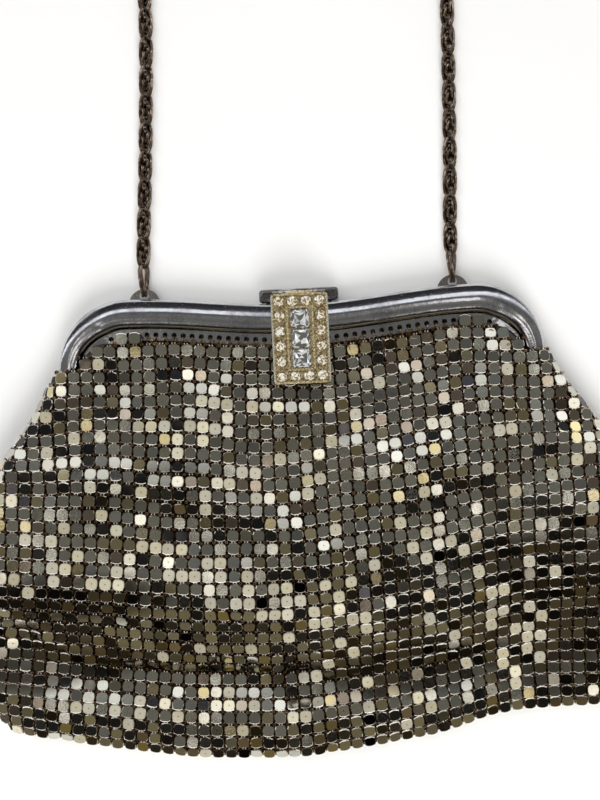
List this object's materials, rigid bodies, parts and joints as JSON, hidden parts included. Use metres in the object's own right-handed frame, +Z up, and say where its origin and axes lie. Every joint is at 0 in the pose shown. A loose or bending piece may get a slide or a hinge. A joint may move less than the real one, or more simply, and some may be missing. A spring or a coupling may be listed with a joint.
{
  "type": "metal mesh purse",
  "caption": "Metal mesh purse lying on its back, with a hinged polished frame, a jewelled clasp flap over the front and a twisted link chain handle.",
  "frame": {"origin": "on the floor under the flat resting back of the pouch, midway across the frame and a little below its hinges", "axes": "+X to the right as seen from the front, +Y from the pouch towards the chain, +Z up from the floor, out of the purse's front"},
  "size_m": [0.2074, 0.3074, 0.0199],
  "materials": {
    "polished_frame": "polished, lightly tarnished",
    "rivet": "dark polished metal",
    "gold_setting": "worn gold tone",
    "crystal": "foiled cut crystal",
    "metal_mesh": "tarnished polished plates",
    "bronze_chain": "dark bronze tarnish"
  },
  "bodies": {
    "purse": {"frame_front": "polished_frame", "frame_back": "polished_frame", "hinge_rivet_left": "rivet", "hinge_rivet_right": "rivet", "clasp_pin": "rivet", "mesh_pouch": "metal_mesh", "chain": "bronze_chain"},
    "flap": {"clasp_flap": "gold_setting", "rhinestone_01": "crystal", "rhinestone_02": "crystal", "rhinestone_03": "crystal", "rhinestone_04": "crystal", "rhinestone_05": "crystal", "rhinestone_06": "crystal", "rhinestone_07": "crystal", "rhinestone_08": "crystal", "rhinestone_09": "crystal", "rhinestone_10": "crystal", "rhinestone_11": "crystal", "rhinestone_12": "crystal", "rhinestone_13": "crystal", "rhinestone_14": "crystal", "rhinestone_15": "crystal", "rhinestone_16": "crystal", "square_stone_1": "crystal", "square_stone_2": "crystal", "square_stone_3": "crystal"}
  },
  "joints": [
    {"name": "flap_hinge", "type": "hinge", "parent": "purse", "child": "flap", "pos_m": [0, 0.0762, 0.00965], "axis": [-1, 0, 0], "range_deg": [0, 105]}
  ]
}
